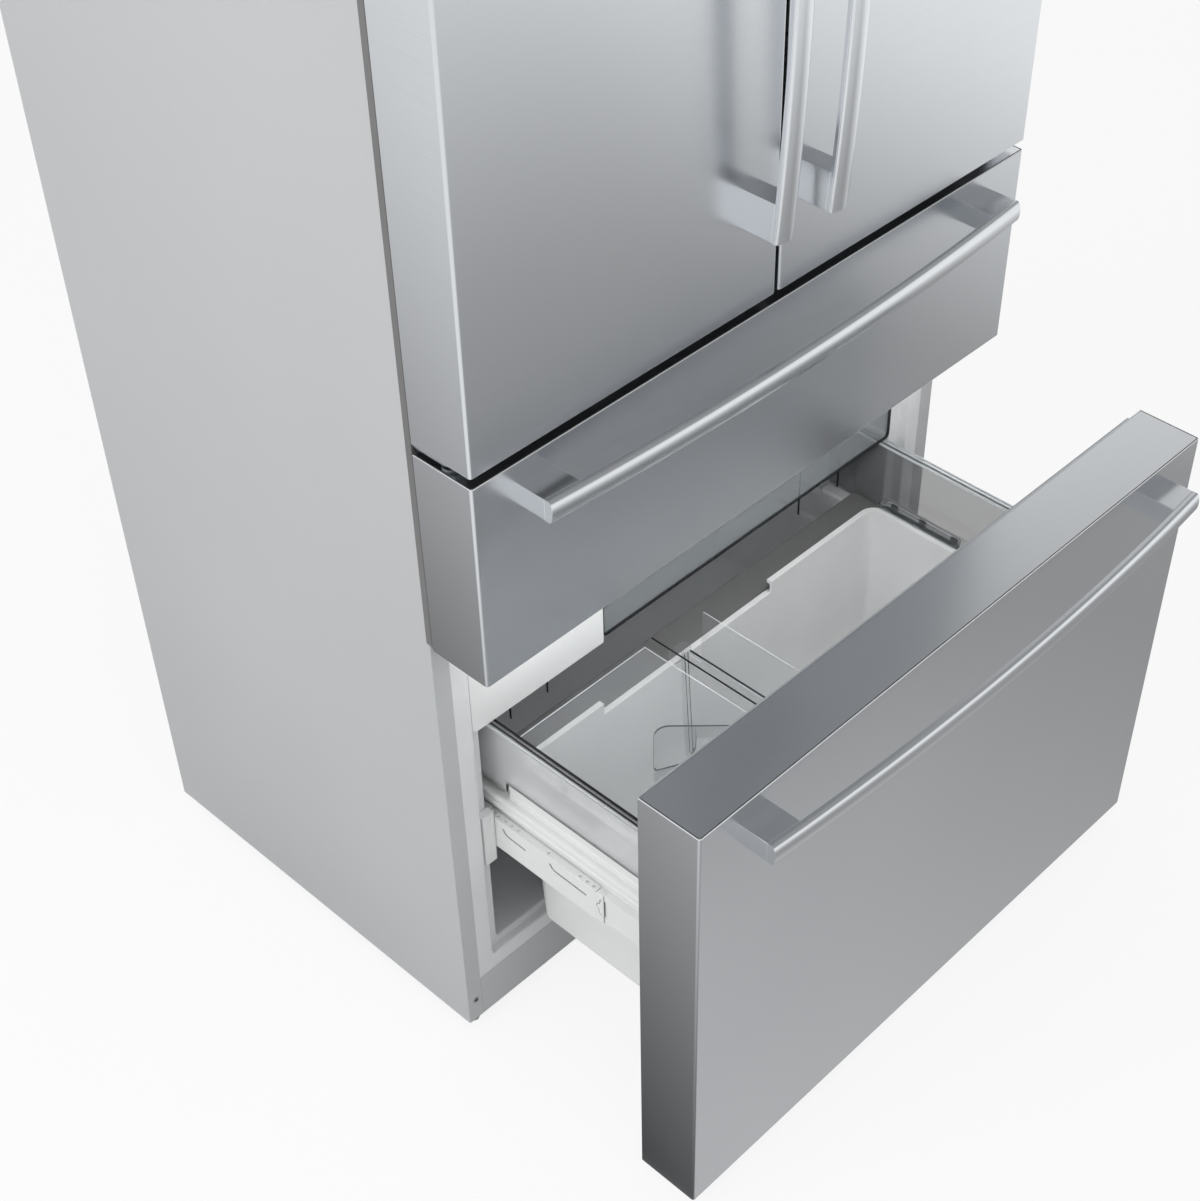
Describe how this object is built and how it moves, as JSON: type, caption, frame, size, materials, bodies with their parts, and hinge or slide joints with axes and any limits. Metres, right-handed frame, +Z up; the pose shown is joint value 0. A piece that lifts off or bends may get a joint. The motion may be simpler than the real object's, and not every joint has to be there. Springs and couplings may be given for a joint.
{
  "type": "bottom freezer refrigerator",
  "caption": "Wide kitchen refrigerator with side-hinged upper doors, a middle drawer and a deep freezer drawer standing open, bar handles, full interior and machine bay.",
  "frame": {"origin": "on the floor, below the middle of the overall box with the freezer drawer standing open", "axes": "+X to the right seen from the front, +Y to the back, the doors face -Y, +Z up"},
  "size_m": [0.9084, 1.0742, 1.829],
  "materials": {
    "painted_case": "satin",
    "stainless": "satin",
    "zinc_steel": "satin",
    "machine_black": "matte",
    "liner_white": "gloss",
    "grey_plastic": "matte",
    "door_seal": "matte",
    "black_rubber": "matte",
    "foam": "matte",
    "clear_plastic": "gloss"
  },
  "bodies": {
    "cabinet": {"case_wrapper": "painted_case", "back_panel": "painted_case", "foam_body": "foam", "fresh_liner": "liner_white", "middle_liner": "liner_white", "freezer_liner": "liner_white", "kick_rail": "painted_case", "base_pan": "zinc_steel", "machine_cover": "zinc_steel", "compressor": "machine_black", "condenser_unit": "machine_black", "hinge_middle_left": "zinc_steel", "hinge_middle_right": "zinc_steel", "hinge_top_left": "grey_plastic", "hinge_top_right": "grey_plastic", "shelf_upper": "clear_plastic", "shelf_lower": "clear_plastic", "crisper_cover": "clear_plastic", "crisper_left": "clear_plastic", "crisper_right": "clear_plastic", "evaporator_cover": "grey_plastic", "ice_maker_box": "liner_white", "upper_tray": "clear_plastic", "freezer_rail_left": "liner_white", "freezer_rail_right": "liner_white"},
    "left_door": {"left_door_skin": "stainless", "left_door_liner": "liner_white", "left_door_gasket": "door_seal", "left_door_handle": "stainless", "left_door_bin_lower": "clear_plastic", "left_door_bin_upper": "clear_plastic"},
    "right_door": {"right_door_skin": "stainless", "right_door_liner": "liner_white", "right_door_gasket": "door_seal", "right_door_handle": "stainless", "right_door_bin_lower": "clear_plastic", "right_door_bin_upper": "clear_plastic"},
    "flip_bar": {"flip_mullion": "grey_plastic"},
    "middle_drawer": {"middle_drawer_skin": "stainless", "middle_drawer_liner": "liner_white", "middle_drawer_gasket": "door_seal", "middle_drawer_handle": "stainless", "middle_drawer_bin": "liner_white"},
    "freezer_drawer": {"freezer_drawer_skin": "stainless", "freezer_drawer_liner": "liner_white", "freezer_drawer_gasket": "door_seal", "freezer_drawer_handle": "stainless", "freezer_basket": "liner_white", "freezer_runner_left": "liner_white", "freezer_runner_right": "liner_white", "freezer_frame_left": "clear_plastic", "freezer_frame_right": "clear_plastic"},
    "rail_members": {"freezer_member_left": "liner_white", "freezer_member_right": "liner_white"},
    "divider": {"basket_divider": "clear_plastic"},
    "fan": {"condenser_fan": "machine_black"},
    "rear_roller_left": {"roller_left": "black_rubber"},
    "levelling_foot_left": {"foot_left": "grey_plastic"},
    "rear_roller_right": {"roller_right": "black_rubber"},
    "levelling_foot_right": {"foot_right": "grey_plastic"}
  },
  "joints": [
    {"name": "left_door_hinge", "type": "hinge", "parent": "cabinet", "child": "left_door", "pos_m": [-0.4385, -0.1189, 1.3], "axis": [0, 0, -1], "range_deg": [0, 120]},
    {"name": "right_door_hinge", "type": "hinge", "parent": "cabinet", "child": "right_door", "pos_m": [0.4385, -0.1189, 1.3], "axis": [0, 0, 1], "range_deg": [0, 120]},
    {"name": "flip_bar_hinge", "type": "hinge", "parent": "left_door", "child": "flip_bar", "pos_m": [-0.0195, -0.0629, 1.355], "axis": [0, 0, -1], "range_deg": [0, 90]},
    {"name": "middle_drawer_slide", "type": "slide", "parent": "cabinet", "child": "middle_drawer", "axis": [0, -1, 0], "range_m": [0, 0.38]},
    {"name": "freezer_drawer_slide", "type": "slide", "parent": "cabinet", "child": "freezer_drawer", "axis": [0, -1, 0], "range_m": [-0.3064, 0.1]},
    {"name": "rail_member_slide", "type": "slide", "parent": "cabinet", "child": "rail_members", "axis": [0, -1, 0], "range_m": [-0.178, 0.0585]},
    {"name": "divider_slide", "type": "slide", "parent": "freezer_drawer", "child": "divider", "axis": [1, 0, 0], "range_m": [-0.07, 0.165]},
    {"name": "condenser_fan_spin", "type": "hinge", "parent": "cabinet", "child": "fan", "pos_m": [0.06, 0.4161, 0.142], "axis": [1, 0, 0], "continuous": true},
    {"name": "rear_roller_left_spin", "type": "hinge", "parent": "cabinet", "child": "rear_roller_left", "pos_m": [-0.41, 0.4911, 0.02], "axis": [1, 0, 0], "continuous": true},
    {"name": "rear_roller_right_spin", "type": "hinge", "parent": "cabinet", "child": "rear_roller_right", "pos_m": [0.41, 0.4911, 0.02], "axis": [1, 0, 0], "continuous": true},
    {"name": "levelling_foot_left_turn", "type": "hinge", "parent": "cabinet", "child": "levelling_foot_left", "pos_m": [-0.434, -0.0569, 0.03], "axis": [0, 0, 1], "continuous": true},
    {"name": "levelling_foot_right_turn", "type": "hinge", "parent": "cabinet", "child": "levelling_foot_right", "pos_m": [0.434, -0.0569, 0.03], "axis": [0, 0, 1], "continuous": true}
  ],
  "couplings": [
    {"joint": "rail_member_slide", "follows": "freezer_drawer_slide", "ratio": 0.58}
  ]
}
